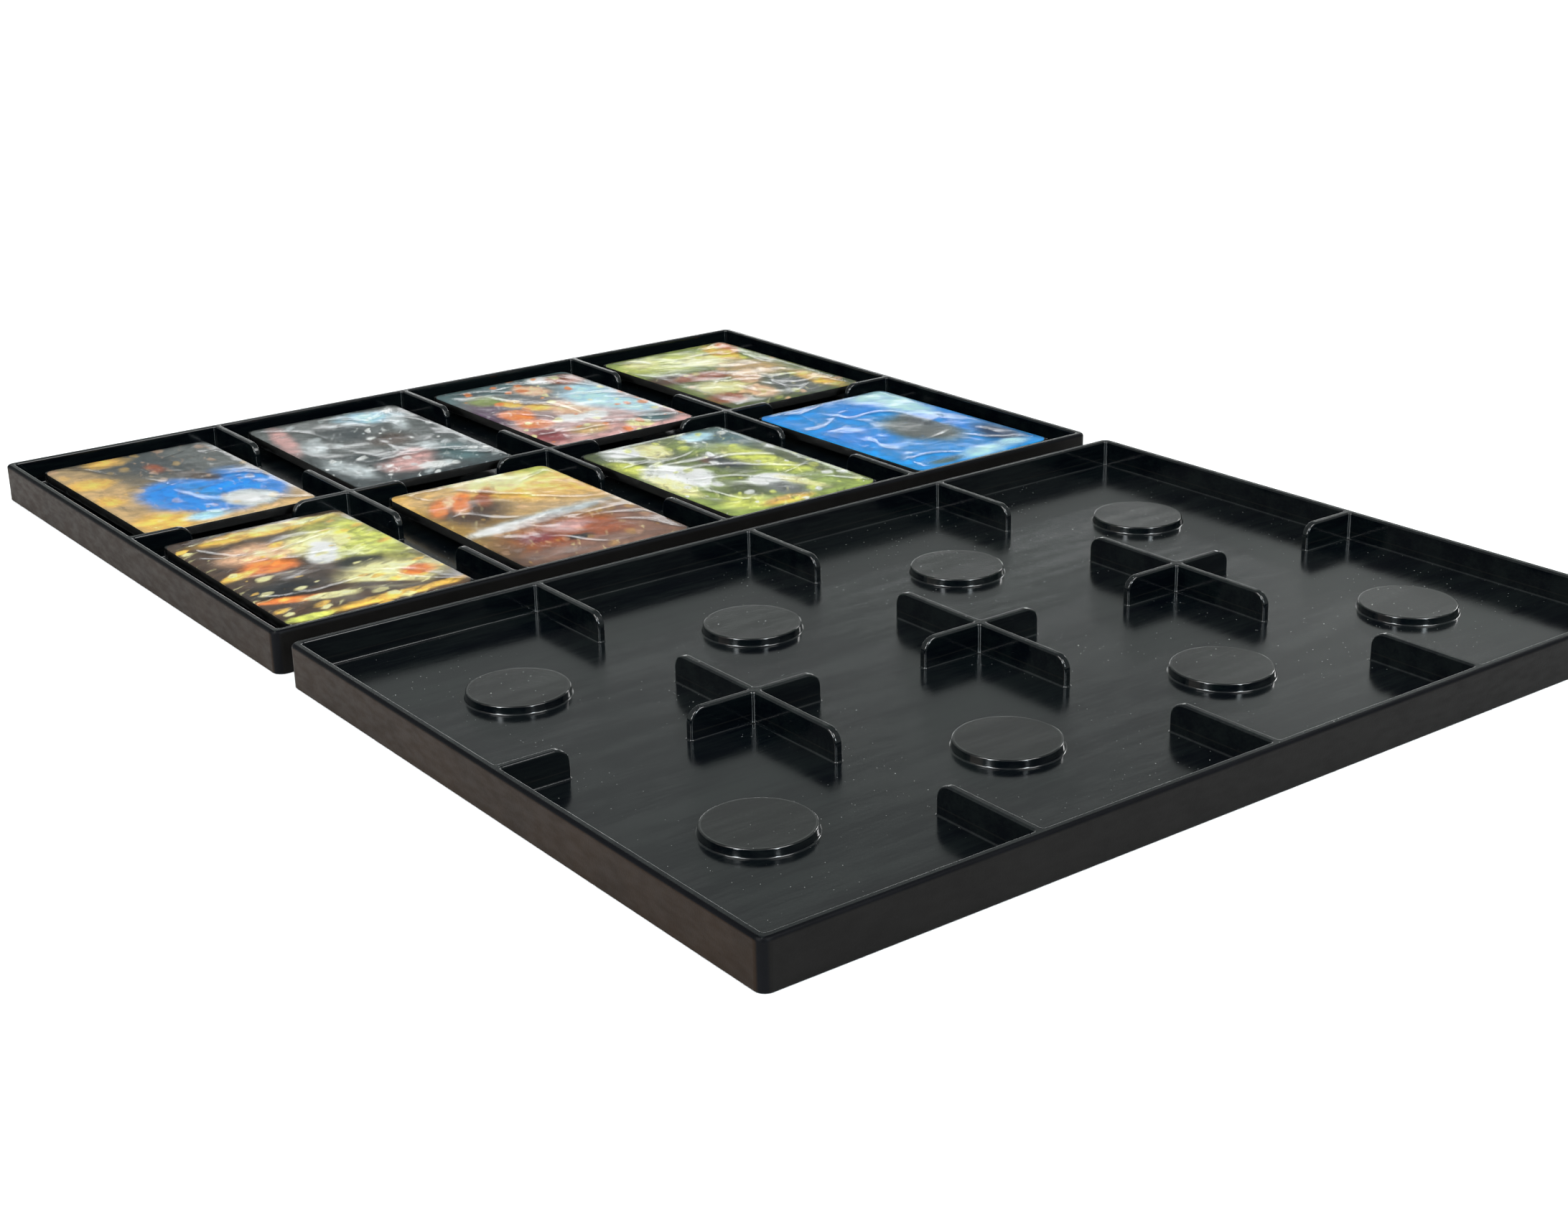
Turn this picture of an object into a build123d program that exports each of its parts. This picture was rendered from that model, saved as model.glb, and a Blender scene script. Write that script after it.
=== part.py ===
from build123d import *
import math
import os

# Box insert organizer: two identical moulded card trays lying side by side on a table.
# The front tray is empty. The rear tray holds eight film-wrapped packs of small cards.
# Frame: X along the trays' long sides, Y from the front tray to the rear one, Z up.
# The origin is on the table, at the middle of the pair. All sizes are in millimetres.

# Grid of compartments, from the middle of one divider to the middle of the next.
PITCH_X = 57.0
PITCH_Y = 80.0
COLUMNS = 4
ROWS = 2
TRAY_GAP = 7.0

# Tray moulding.
WALL = 2.0
RIB = 1.7
TRAY_HEIGHT = 9.5
FLOOR_TOP = 3.2
FLOOR_THICKNESS = 2.2
OUTER_CORNER_R = 2.2
INNER_CORNER_R = 0.8
JUNCTION_R = 0.6
TOP_EDGE_R = 0.45
RIM_OUTER_R = 0.8
BASE_EDGE_R = 0.3
FOOT_R = 0.4

# Gaps between the ends of the dividers, where fingers reach a pack.
FINGER_GAP_X = 26.2
FINGER_GAP_Y = 28.0
RIB_END_R = 3.2

# Raised disc in the middle of each compartment, hollow underneath.
DISC_R = 10.4
DISC_HEIGHT = 1.75
DISC_FLARE = 0.2
DISC_TOP_EDGE_R = 0.35
DISC_CORE_WALL = 2.0

# Ejector pin marks on the floor, beside the cross dividers.
PIN_MARK_R = 2.8
PIN_MARK_DEPTH = 0.06
PIN_MARK_OFFSET = 7.5

# Wrapped card packs.
CARD_LENGTH = 68.0
CARD_WIDTH = 44.0
CARD_CORNER_R = 2.5
CARD_THICKNESS = 0.29
CARD_AIR = 0.01
CARDS_UNDER_FACE = 7
FILM = 0.1
FILM_SIDE_GAP = 0.4
FILM_TOP_GAP = 0.02
FILM_EDGE_R = 0.35
PACK_REST_GAP = 0.05

# How each pack happens to lie in its compartment: shift along X, along Y, and turn.
PACK_RESTS = (
    (0.3, -0.4, 0.5),
    (-0.4, 0.3, -0.6),
    (0.2, 0.5, 0.3),
    (0.5, -0.2, 0.8),
    (-0.3, 0.2, 0.0),
    (0.4, -0.3, -0.5),
    (-0.2, 0.4, 0.6),
    (0.3, 0.3, 1.2),
)

TRAY_LENGTH = COLUMNS * PITCH_X + WALL
TRAY_WIDTH = ROWS * PITCH_Y + WALL
FRONT_Y = -(TRAY_WIDTH + TRAY_GAP) / 2
REAR_Y = -FRONT_Y
CAVITY_LENGTH = TRAY_LENGTH - 2 * WALL
CAVITY_WIDTH = TRAY_WIDTH - 2 * WALL
ARM_X = (PITCH_X - FINGER_GAP_X) / 2
ARM_Y = (PITCH_Y - FINGER_GAP_Y) / 2
UNDERSIDE = FLOOR_TOP - FLOOR_THICKNESS
PACK_BOTTOM = FLOOR_TOP + DISC_HEIGHT + PACK_REST_GAP
CARD_STEP = CARD_THICKNESS + CARD_AIR
STACK_BOTTOM = PACK_BOTTOM + FILM + FILM_TOP_GAP
FACE_CARD_BOTTOM = STACK_BOTTOM + CARDS_UNDER_FACE * CARD_STEP
PACK_TOP = FACE_CARD_BOTTOM + CARD_THICKNESS + FILM_TOP_GAP + FILM

DIVIDER_XS = [PITCH_X * (i - COLUMNS / 2) for i in range(1, COLUMNS)]
CELL_XS = [PITCH_X * (i + 0.5 - COLUMNS / 2) for i in range(COLUMNS)]
CELL_YS = [PITCH_Y * (j + 0.5 - ROWS / 2) for j in reversed(range(ROWS))]
CUTTER_WIDTH = 2 * RIB
SAME_PLACE = 1e-3


def edges_at(shape, z):
    """Edges of a shape that lie wholly at one height."""
    level = []
    for edge in shape.edges():
        box = edge.bounding_box()
        if abs(box.min.Z - z) < SAME_PLACE and abs(box.max.Z - z) < SAME_PLACE:
            level.append(edge)
    return level


def inside_cavity(edge):
    """True for an edge that lies within the inner faces of the perimeter wall."""
    box = edge.bounding_box()
    reach_x = max(abs(box.min.X), abs(box.max.X))
    reach_y = max(abs(box.min.Y), abs(box.max.Y))
    limit_x = CAVITY_LENGTH / 2 + SAME_PLACE
    limit_y = CAVITY_WIDTH / 2 + SAME_PLACE
    return reach_x < limit_x and reach_y < limit_y


def divider_bars():
    """Every straight divider as (centre x, centre y, size x, size y), with its root in the wall."""
    bars = []
    half_x = TRAY_LENGTH / 2
    half_y = TRAY_WIDTH / 2
    stub_x = ARM_X + WALL / 2
    stub_y = ARM_Y + WALL / 2
    for x in DIVIDER_XS:
        bars.append((x, 0.0, 2 * ARM_X, RIB))
        bars.append((x, 0.0, RIB, 2 * ARM_Y))
        for side in (-1, 1):
            bars.append((x, side * (half_y - stub_y / 2), RIB, stub_y))
    for side in (-1, 1):
        bars.append((side * (half_x - stub_x / 2), 0.0, stub_x, RIB))
    return bars


def divider_ends():
    """Free ends of the dividers as (x, y, outward x, outward y)."""
    ends = []
    rib_end_x = PITCH_X * COLUMNS / 2 - ARM_X
    rib_end_y = PITCH_Y * ROWS / 2 - ARM_Y
    for side in (-1, 1):
        for x in DIVIDER_XS:
            ends.append((x + side * ARM_X, 0.0, side, 0))
            ends.append((x, side * ARM_Y, 0, side))
            ends.append((x, side * rib_end_y, 0, -side))
        ends.append((side * rib_end_x, 0.0, -side, 0))
    return ends


def cavity_plan():
    """Plan of the open space inside the wall, with every junction of two dividers rounded."""
    bars = Sketch() + [Pos(x, y) * Rectangle(w, d) for x, y, w, d in divider_bars()]
    plan = RectangleRounded(CAVITY_LENGTH, CAVITY_WIDTH, INNER_CORNER_R) - bars
    face = plan.faces()[0]
    half_rib = RIB / 2 + SAME_PLACE
    corners = []
    for vertex in face.vertices():
        at_wall_x = abs(abs(vertex.X) - CAVITY_LENGTH / 2) < SAME_PLACE and abs(vertex.Y) < half_rib
        from_divider = min(abs(vertex.X - x) for x in DIVIDER_XS)
        at_wall_y = abs(abs(vertex.Y) - CAVITY_WIDTH / 2) < SAME_PLACE and from_divider < half_rib
        at_cross = from_divider < half_rib and abs(vertex.Y) < half_rib
        if at_wall_x or at_wall_y or at_cross:
            corners.append(vertex)
    return fillet(corners, JUNCTION_R)


def rib_end_cutter(x, y, out_x, out_y):
    """Removes the square top corner at a divider's free end and leaves a quarter round."""
    block = Box(RIB_END_R, CUTTER_WIDTH, RIB_END_R, align=(Align.MAX, Align.CENTER, Align.MAX))
    rounding = Rot(90, 0, 0) * Cylinder(RIB_END_R, 2 * CUTTER_WIDTH)
    cutter = block - Pos(-RIB_END_R, 0, -RIB_END_R) * rounding
    turn = math.degrees(math.atan2(out_y, out_x))
    return Pos(x, y, TRAY_HEIGHT) * Rot(0, 0, turn) * cutter


def raised_disc(x, y):
    """Low flared disc that a pack rocks on, with its top edge softened."""
    lower = Circle(DISC_R + DISC_FLARE)
    upper = Pos(0, 0, DISC_HEIGHT) * Circle(DISC_R)
    disc = loft([lower, upper])
    disc = fillet(edges_at(disc, DISC_HEIGHT), DISC_TOP_EDGE_R)
    return Pos(x, y, FLOOR_TOP) * disc


def disc_core(x, y):
    """Hollow under a raised disc, so that the moulding keeps one wall thickness."""
    depth = FLOOR_TOP + DISC_HEIGHT - FLOOR_THICKNESS - UNDERSIDE
    core = Cylinder(DISC_R - DISC_CORE_WALL, depth, align=(Align.CENTER, Align.CENTER, Align.MIN))
    return Pos(x, y, UNDERSIDE) * core


def pin_mark(x, y):
    """Shallow round ejector pin mark in the floor."""
    mark = Cylinder(PIN_MARK_R, PIN_MARK_DEPTH, align=(Align.CENTER, Align.CENTER, Align.MAX))
    return Pos(x, y, FLOOR_TOP) * mark


def at_divider_end(edge):
    """True for an edge of the small curved face at a divider's free end."""
    middle = edge.center()
    distances = [math.hypot(middle.X - x, middle.Y - y) for x, y, _, _ in divider_ends()]
    return min(distances) < RIB_END_R


def card_tray():
    """One tray, moulded in one piece, about its own centre."""
    outline = RectangleRounded(TRAY_LENGTH, TRAY_WIDTH, OUTER_CORNER_R)
    tray = extrude(outline, TRAY_HEIGHT)
    tray -= Pos(0, 0, FLOOR_TOP) * extrude(cavity_plan(), TRAY_HEIGHT - FLOOR_TOP)
    tray -= [rib_end_cutter(*end) for end in divider_ends()]

    end_edges = []
    for edge in tray.edges():
        box = edge.bounding_box()
        rises = box.max.Z - box.min.Z > SAME_PLACE
        above_floor = box.min.Z > FLOOR_TOP - SAME_PLACE
        if rises and above_floor and at_divider_end(edge) and inside_cavity(edge):
            end_edges.append(edge)
    top_edges = [edge for edge in edges_at(tray, TRAY_HEIGHT) if inside_cavity(edge)]
    tray = fillet(top_edges + end_edges, TOP_EDGE_R)
    foot_edges = [edge for edge in edges_at(tray, FLOOR_TOP) if inside_cavity(edge)]
    tray = fillet(foot_edges, FOOT_R)
    rim_edges = [edge for edge in edges_at(tray, TRAY_HEIGHT) if not inside_cavity(edge)]
    tray = fillet(rim_edges, RIM_OUTER_R)
    tray = fillet(edges_at(tray, 0.0), BASE_EDGE_R)

    for y in CELL_YS:
        for x in CELL_XS:
            tray += raised_disc(x, y)
    foot_radius = DISC_R + DISC_FLARE
    floor_circles = [edge for edge in edges_at(tray, FLOOR_TOP) if edge.geom_type == GeomType.CIRCLE]
    disc_feet = [edge for edge in floor_circles if abs(edge.radius - foot_radius) < SAME_PLACE]
    tray = fillet(disc_feet, FOOT_R)

    recess = RectangleRounded(CAVITY_LENGTH, CAVITY_WIDTH, INNER_CORNER_R)
    tray -= extrude(recess, UNDERSIDE)
    tray -= [disc_core(x, y) for y in CELL_YS for x in CELL_XS]
    for x in DIVIDER_XS:
        tray -= [pin_mark(x - PIN_MARK_OFFSET, side * PIN_MARK_OFFSET) for side in (-1, 1)]
    return tray


def card(bottom):
    """One playing card with rounded corners, lying flat."""
    outline = RectangleRounded(CARD_WIDTH, CARD_LENGTH, CARD_CORNER_R)
    return Pos(0, 0, bottom) * extrude(outline, CARD_THICKNESS)


def card_stack():
    """The cards under the face card, each one a solid of its own."""
    return Compound(children=[card(STACK_BOTTOM + i * CARD_STEP) for i in range(CARDS_UNDER_FACE)])


def film_wrapper():
    """Clear film folded round the cards and sealed, as a thin closed skin."""
    width = CARD_WIDTH + 2 * FILM_SIDE_GAP
    length = CARD_LENGTH + 2 * FILM_SIDE_GAP
    height = PACK_TOP - PACK_BOTTOM
    standing = (Align.CENTER, Align.CENTER, Align.MIN)
    outside = Box(width + 2 * FILM, length + 2 * FILM, height, align=standing)
    outside = fillet(outside.edges(), FILM_EDGE_R)
    inside = Box(width, length, height - 2 * FILM, align=standing)
    inside = fillet(inside.edges(), FILM_EDGE_R - FILM)
    return Pos(0, 0, PACK_BOTTOM) * (outside - Pos(0, 0, FILM) * inside)


def write_node(shape, name):
    """Writes one sub-part to its own STEP file."""
    shape.label = name
    export_step(shape, f"parts/{name}.step")


os.makedirs("parts", exist_ok=True)

tray = card_tray()
write_node(Pos(0, FRONT_Y, 0) * tray, "tray_front")
write_node(Pos(0, REAR_Y, 0) * tray, "tray_rear")

cells = [(x, y) for y in CELL_YS for x in CELL_XS]
for number, ((x, y), (shift_x, shift_y, turn)) in enumerate(zip(cells, PACK_RESTS), start=1):
    place = Pos(x + shift_x, REAR_Y + y + shift_y, 0) * Rot(0, 0, turn)
    write_node(place * film_wrapper(), f"pack_{number}_film")
    write_node(place * card(FACE_CARD_BOTTOM), f"pack_{number}_face_card")
    write_node(place * card_stack(), f"pack_{number}_cards")
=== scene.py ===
import math
import random

import bpy
from mathutils import Matrix, Vector, noise


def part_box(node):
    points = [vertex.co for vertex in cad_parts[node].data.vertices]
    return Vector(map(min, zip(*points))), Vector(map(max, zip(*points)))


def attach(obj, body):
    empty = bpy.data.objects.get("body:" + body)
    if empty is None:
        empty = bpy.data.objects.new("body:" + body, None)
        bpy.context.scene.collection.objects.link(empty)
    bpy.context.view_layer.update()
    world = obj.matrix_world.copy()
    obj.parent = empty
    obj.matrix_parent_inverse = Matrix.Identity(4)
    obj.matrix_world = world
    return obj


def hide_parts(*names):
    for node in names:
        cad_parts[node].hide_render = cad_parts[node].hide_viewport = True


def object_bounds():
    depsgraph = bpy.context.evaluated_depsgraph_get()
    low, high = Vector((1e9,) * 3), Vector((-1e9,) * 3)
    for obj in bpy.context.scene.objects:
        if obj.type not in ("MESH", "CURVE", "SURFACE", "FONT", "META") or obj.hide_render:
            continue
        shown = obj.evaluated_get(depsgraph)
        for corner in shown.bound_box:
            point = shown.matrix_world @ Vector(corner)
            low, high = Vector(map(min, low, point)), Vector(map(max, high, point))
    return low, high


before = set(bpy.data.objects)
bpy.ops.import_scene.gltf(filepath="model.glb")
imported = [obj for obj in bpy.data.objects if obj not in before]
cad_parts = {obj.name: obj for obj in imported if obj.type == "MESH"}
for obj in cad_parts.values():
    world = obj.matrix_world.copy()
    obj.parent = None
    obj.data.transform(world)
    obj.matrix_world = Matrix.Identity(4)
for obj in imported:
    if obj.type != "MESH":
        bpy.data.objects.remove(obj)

# Two black card trays side by side. The front one is empty, and the rear one holds eight
# film-wrapped packs of picture cards. Lengths are in metres, in the frame of the CAD model.
MM = 0.001
PACK_COUNT = 8

cad_low, cad_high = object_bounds()

# Camera, in the frame's own terms: azimuth 0 looks along +Y.
CAMERA_AZIMUTH = math.radians(-36.4)
CAMERA_ELEVATION = math.radians(20.1)
CAMERA_ROLL = math.radians(-1.3)
CAMERA_DISTANCE = 0.4983
CAMERA_TARGET = Vector((-0.0111, -0.0323, 0.0))
CAMERA_LENS = 52.0

# Stage and light.
FLOOR_SIZE = 24.0
FLOOR_DROP = 0.05 * MM
SKY_LEVELS = ((0.0, 0.48), (0.14, 0.42), (0.28, 0.395), (0.45, 0.41), (0.6, 0.34), (1.0, 0.38))
SKY_TINT = (0.93, 1.0, 0.97)

# Tray plastic.
INSIDE_DARK = (0.0004, 0.0009, 0.0019)
INSIDE_LIGHT = (0.0018, 0.0032, 0.0036)
# Outside colours are painted light and shade: corners painted darker, long walls painted paler, end walls
# painted a warm lit brown.
OUTSIDE_CORNER_PAINTED_SHADE = (0.0016, 0.0018, 0.0026)
OUTSIDE_LONG_PAINTED_LIGHT = (0.0040, 0.0037, 0.0035)
OUTSIDE_END_PAINTED_WARM_LIGHT = (0.0110, 0.0055, 0.0024)
DISC_TINT = (0.0090, 0.0088, 0.0078)
# Pale dust colour, also used for the painted highlight line round the discs.
DUST_AND_HIGHLIGHT = (0.50, 0.52, 0.50)
OUTSIDE_SKIN = 0.82 * MM
UNDERSIDE_TOP = 2.0 * MM
TRAY_WALL = 2.0 * MM
COLUMNS = 4
ROWS = 2
DISC_R = 10.05 * MM
DISC_HIGHLIGHT_LINE = 0.18 * MM
DISC_TOP = 4.95 * MM
LEVEL_REACH = 0.12 * MM
RIM_LOW = 8.6 * MM
RIM_HIGH = 9.2 * MM
RIM_SPECULAR = 0.34
INSIDE_SPECULAR = 0.5
OUTSIDE_SPECULAR = 0.055

# Wrapped cards.
CARD_HALF_WIDTH = 22.0 * MM
FILM_STEP = 0.8 * MM
FILM_WIDTH = 44.6 * MM
FILM_LENGTH = 68.6 * MM
FILM_EDGE_R = 0.3 * MM
FILM_CORNER_R = 1.6 * MM
FILM_CLEAR = 0.03 * MM
FILM_WAVE = 0.34 * MM
FILM_MAX_RISE = 1.15 * MM
FILM_SIDE_ROWS = 4
FILM_BULGE = 0.30 * MM
FILM_IOR = 1.48
FILM_ROUGHNESS = 0.20
FILM_GLOSS = (0.68, 0.69, 0.70)


class Nodes:
    """Short calls that add and link the nodes of one material or world."""

    def __init__(self, owner):
        owner.use_nodes = True
        self.tree = owner.node_tree
        self.tree.nodes.clear()

    def feed(self, socket, value):
        if isinstance(value, bpy.types.NodeSocket):
            self.tree.links.new(value, socket)
        elif socket.type == "RGBA" and len(value) == 3:
            socket.default_value = (*value, 1.0)
        else:
            socket.default_value = value

    def add(self, kind, inputs=(), **settings):
        node = self.tree.nodes.new("ShaderNode" + kind)
        for name, value in settings.items():
            setattr(node, name, value)
        for name, value in dict(inputs).items():
            self.feed(node.inputs[name], value)
        return node

    def maths(self, operation, *values, clamp=False):
        node = self.add("Math", operation=operation, use_clamp=clamp)
        for socket, value in zip(node.inputs, values):
            self.feed(socket, value)
        return node.outputs[0]

    def vector(self, operation, *values):
        node = self.add("VectorMath", operation=operation)
        for socket, value in zip(node.inputs, values):
            self.feed(socket, value)
        return node.outputs["Value" if operation in ("LENGTH", "DOT_PRODUCT") else "Vector"]

    def scaled(self, vector, factor):
        node = self.add("VectorMath", {"Scale": factor}, operation="SCALE")
        self.feed(node.inputs[0], vector)
        return node.outputs["Vector"]

    def split(self, vector):
        node = self.add("SeparateXYZ", {"Vector": vector})
        return node.outputs[0], node.outputs[1], node.outputs[2]

    def placed(self, vector, location=(0, 0, 0), turn=0.0, scale=(1, 1, 1)):
        """The vector seen from a frame with that place, turn about Z and scale."""
        inputs = {"Vector": vector, "Location": location, "Rotation": (0, 0, turn), "Scale": scale}
        return self.add("Mapping", inputs, vector_type="TEXTURE").outputs[0]

    def noise(self, vector, scale, detail=2.0, roughness=0.5, output="Fac"):
        inputs = {"Vector": vector, "Scale": scale, "Detail": detail, "Roughness": roughness}
        return self.add("TexNoise", inputs).outputs[output]

    def smooth(self, value, low, high, to_low=0.0, to_high=1.0):
        inputs = {"Value": value, "From Min": low, "From Max": high, "To Min": to_low, "To Max": to_high}
        return self.add("MapRange", inputs, interpolation_type="SMOOTHSTEP").outputs[0]

    def mix(self, factor, first, second, blend="MIX"):
        node = self.add("Mix", data_type="RGBA", blend_type=blend)
        self.feed(node.inputs[0], factor)
        self.feed(node.inputs[6], first)
        self.feed(node.inputs[7], second)
        return node.outputs[2]

    def bump(self, height, distance, strength=1.0, normal=None):
        inputs = {"Height": height, "Distance": distance, "Strength": strength}
        if normal is not None:
            inputs["Normal"] = normal
        return self.add("Bump", inputs).outputs[0]

    def finish(self, shader, kind="Material"):
        output = self.add("Output" + kind)
        self.feed(output.inputs["Surface"], shader)


def glossy_plastic():
    """Black moulded plastic with a gloss, faint flow streaks and dust. Inside and top of a tray."""
    material = bpy.data.materials.new("tray_gloss_black")
    nodes = Nodes(material)
    place = nodes.add("TexCoord").outputs["Object"]

    # Flow streaks run along the tray's length.
    along = nodes.placed(place, scale=(9.0, 1.0, 1.0))
    broad = nodes.noise(along, 190.0, 3.0, 0.6)
    fine = nodes.noise(along, 1500.0, 2.0, 0.6)
    streak = nodes.maths("ADD", nodes.maths("MULTIPLY", broad, 0.65), nodes.maths("MULTIPLY", fine, 0.35))
    streak = nodes.smooth(streak, 0.36, 0.64)
    cloud = nodes.noise(place, 22.0, 3.0, 0.55)

    # Dust lies on the faces that look up.
    facing = nodes.split(nodes.add("TexCoord").outputs["Normal"])[2]
    level = nodes.smooth(facing, 0.85, 0.97)
    large = dust_specks(nodes, place, 230.0, 0.030)
    small = dust_specks(nodes, place, 620.0, 0.055)
    specks = nodes.maths("MULTIPLY", nodes.maths("MAXIMUM", large, small), level)
    dust = nodes.maths("MULTIPLY", specks, nodes.smooth(cloud, 0.42, 0.60))

    # The discs are a little paler than the floor, with a painted highlight line round the top edge.
    from_middle = disc_distance(nodes, place)
    height = nodes.split(place)[2]
    from_top = nodes.maths("ABSOLUTE", nodes.maths("SUBTRACT", height, DISC_TOP))
    on_disc = nodes.maths("LESS_THAN", from_top, LEVEL_REACH)
    edge = nodes.maths("ABSOLUTE", nodes.maths("SUBTRACT", from_middle, DISC_R - DISC_HIGHLIGHT_LINE / 2))
    painted_edge_highlight = nodes.maths("MULTIPLY", nodes.smooth(edge, DISC_HIGHLIGHT_LINE, 0.3 * DISC_HIGHLIGHT_LINE), on_disc)
    on_rim = nodes.maths("MULTIPLY", nodes.smooth(height, RIM_LOW, RIM_HIGH), level)

    colour = nodes.mix(streak, INSIDE_DARK, INSIDE_LIGHT)
    colour = nodes.mix(nodes.maths("MULTIPLY", on_disc, 0.4), colour, DISC_TINT)
    # Painted highlight: a faint pale line just inside each disc's top edge.
    colour = nodes.mix(nodes.maths("MULTIPLY", painted_edge_highlight, 0.035), colour, DUST_AND_HIGHLIGHT)
    colour = nodes.mix(nodes.maths("MULTIPLY", dust, 0.6), colour, DUST_AND_HIGHLIGHT)
    specular = nodes.maths("MULTIPLY_ADD", on_rim, RIM_SPECULAR - INSIDE_SPECULAR, INSIDE_SPECULAR)
    specular = nodes.maths("MULTIPLY", specular, nodes.smooth(streak, 0.0, 1.0, 0.86, 1.12))
    roughness = nodes.maths("MULTIPLY_ADD", streak, 0.06, 0.12)
    roughness = nodes.maths("MULTIPLY_ADD", cloud, 0.05, roughness)
    roughness = nodes.maths("MULTIPLY", roughness, nodes.smooth(facing, 0.1, 0.8, 0.55, 1.0))
    roughness = nodes.maths("MULTIPLY_ADD", dust, 0.5, roughness, clamp=True)
    normal = nodes.bump(nodes.noise(place, 2600.0, 3.0, 0.65), 0.003 * MM)
    normal = nodes.bump(broad, 0.012 * MM, normal=normal)
    normal = nodes.bump(dust, 0.03 * MM, normal=normal)
    shader = nodes.add("BsdfPrincipled", {
        "Base Color": colour, "Roughness": roughness, "Normal": normal, "Specular IOR Level": specular})
    nodes.finish(shader.outputs[0])
    return material


def disc_distance(nodes, place):
    """Distance in plan from the middle of the nearest raised disc."""
    low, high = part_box("tray_front")
    middle = (low + high) / 2
    pitch_x = (high.x - low.x - TRAY_WALL) / COLUMNS
    pitch_y = (high.y - low.y - TRAY_WALL) / ROWS
    x, y, _ = nodes.split(place)
    across = nodes.maths("ABSOLUTE", nodes.maths("SUBTRACT", x, middle.x))
    columns = [nodes.maths("SUBTRACT", across, pitch_x * (i + 0.5)) for i in range(COLUMNS // 2)]
    from_tray = nodes.maths("SUBTRACT", nodes.maths("ABSOLUTE", y), abs(middle.y))
    from_row = nodes.maths("SUBTRACT", nodes.maths("ABSOLUTE", from_tray), pitch_y / 2)
    columns = [nodes.maths("ABSOLUTE", column) for column in columns]
    from_column = nodes.maths("MINIMUM", *columns)
    square = nodes.maths("MULTIPLY", from_column, from_column)
    square = nodes.maths("MULTIPLY_ADD", from_row, from_row, square)
    return nodes.maths("SQRT", square)


def matt_plastic():
    """Black moulded plastic with a fine matt grain, with painted light and shade: its flat walls painted
    paler than its corners, its end walls painted a warm lit brown.
    """
    material = bpy.data.materials.new("tray_matt_black")
    nodes = Nodes(material)
    coordinates = nodes.add("TexCoord").outputs
    place = coordinates["Object"]
    facing_x, facing_y, _ = nodes.split(coordinates["Normal"])
    end_face_warm_light = nodes.smooth(nodes.maths("ABSOLUTE", facing_x), 0.90, 0.995)
    long_face_light = nodes.smooth(nodes.maths("ABSOLUTE", facing_y), 0.90, 0.995)
    mottle = nodes.smooth(nodes.noise(place, 90.0, 4.0, 0.7), 0.3, 0.7, 0.85, 1.15)
    # Painted light and shade: long walls painted paler, end walls painted warm, rounded corners painted
    # darker.
    colour = nodes.mix(long_face_light, OUTSIDE_CORNER_PAINTED_SHADE, OUTSIDE_LONG_PAINTED_LIGHT)
    colour = nodes.scaled(nodes.mix(end_face_warm_light, colour, OUTSIDE_END_PAINTED_WARM_LIGHT), mottle)
    drag = nodes.noise(nodes.placed(place, scale=(3.0, 3.0, 1.0)), 600.0, 3.0, 0.6)
    roughness = nodes.smooth(drag, 0.3, 0.7, 0.40, 0.52)
    normal = nodes.bump(nodes.noise(place, 2400.0, 3.0, 0.65), 0.02 * MM)
    shader = nodes.add("BsdfPrincipled", {
        "Base Color": colour, "Roughness": roughness, "Normal": normal,
        "Specular IOR Level": OUTSIDE_SPECULAR})
    nodes.finish(shader.outputs[0])
    return material


def finish_tray(node, gloss, matt):
    """Gives a tray its glossy inside and its matt outside."""
    low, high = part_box(node)
    give(node, gloss)
    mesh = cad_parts[node].data
    mesh.materials.append(matt)
    for polygon in mesh.polygons:
        at = polygon.center
        rim_x = min(at.x - low.x, high.x - at.x)
        rim_y = min(at.y - low.y, high.y - at.y)
        if min(rim_x, rim_y) < OUTSIDE_SKIN or at.z < UNDERSIDE_TOP:
            polygon.material_index = 1


def dust_specks(nodes, place, scale, size):
    """1 inside small round specks, one in some of the cells of a grid, seen from above."""
    cells = nodes.add("TexVoronoi", {"Vector": place, "Scale": scale}, voronoi_dimensions="2D")
    chance = nodes.split(cells.outputs["Color"])[0]
    radius = nodes.smooth(chance, 0.80, 1.0, 0.0, size)
    return nodes.maths("LESS_THAN", cells.outputs["Distance"], radius)


def card_edges():
    """Near-black card edges, with the faint grain of cut board."""
    material = bpy.data.materials.new("card_stock_layers")
    nodes = Nodes(material)
    place = nodes.add("TexCoord").outputs["Object"]
    fibres = nodes.noise(nodes.placed(place, scale=(1.0, 1.0, 0.2)), 2200.0, 3.0, 0.7)
    colour = nodes.mix(nodes.smooth(fibres, 0.3, 0.7), (0.006, 0.006, 0.006), (0.016, 0.015, 0.014))
    normal = nodes.bump(fibres, 0.01 * MM)
    shader = nodes.add("BsdfPrincipled", {
        "Base Color": colour, "Roughness": 0.7, "Normal": normal, "Specular IOR Level": 0.2})
    nodes.finish(shader.outputs[0])
    return material


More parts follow.
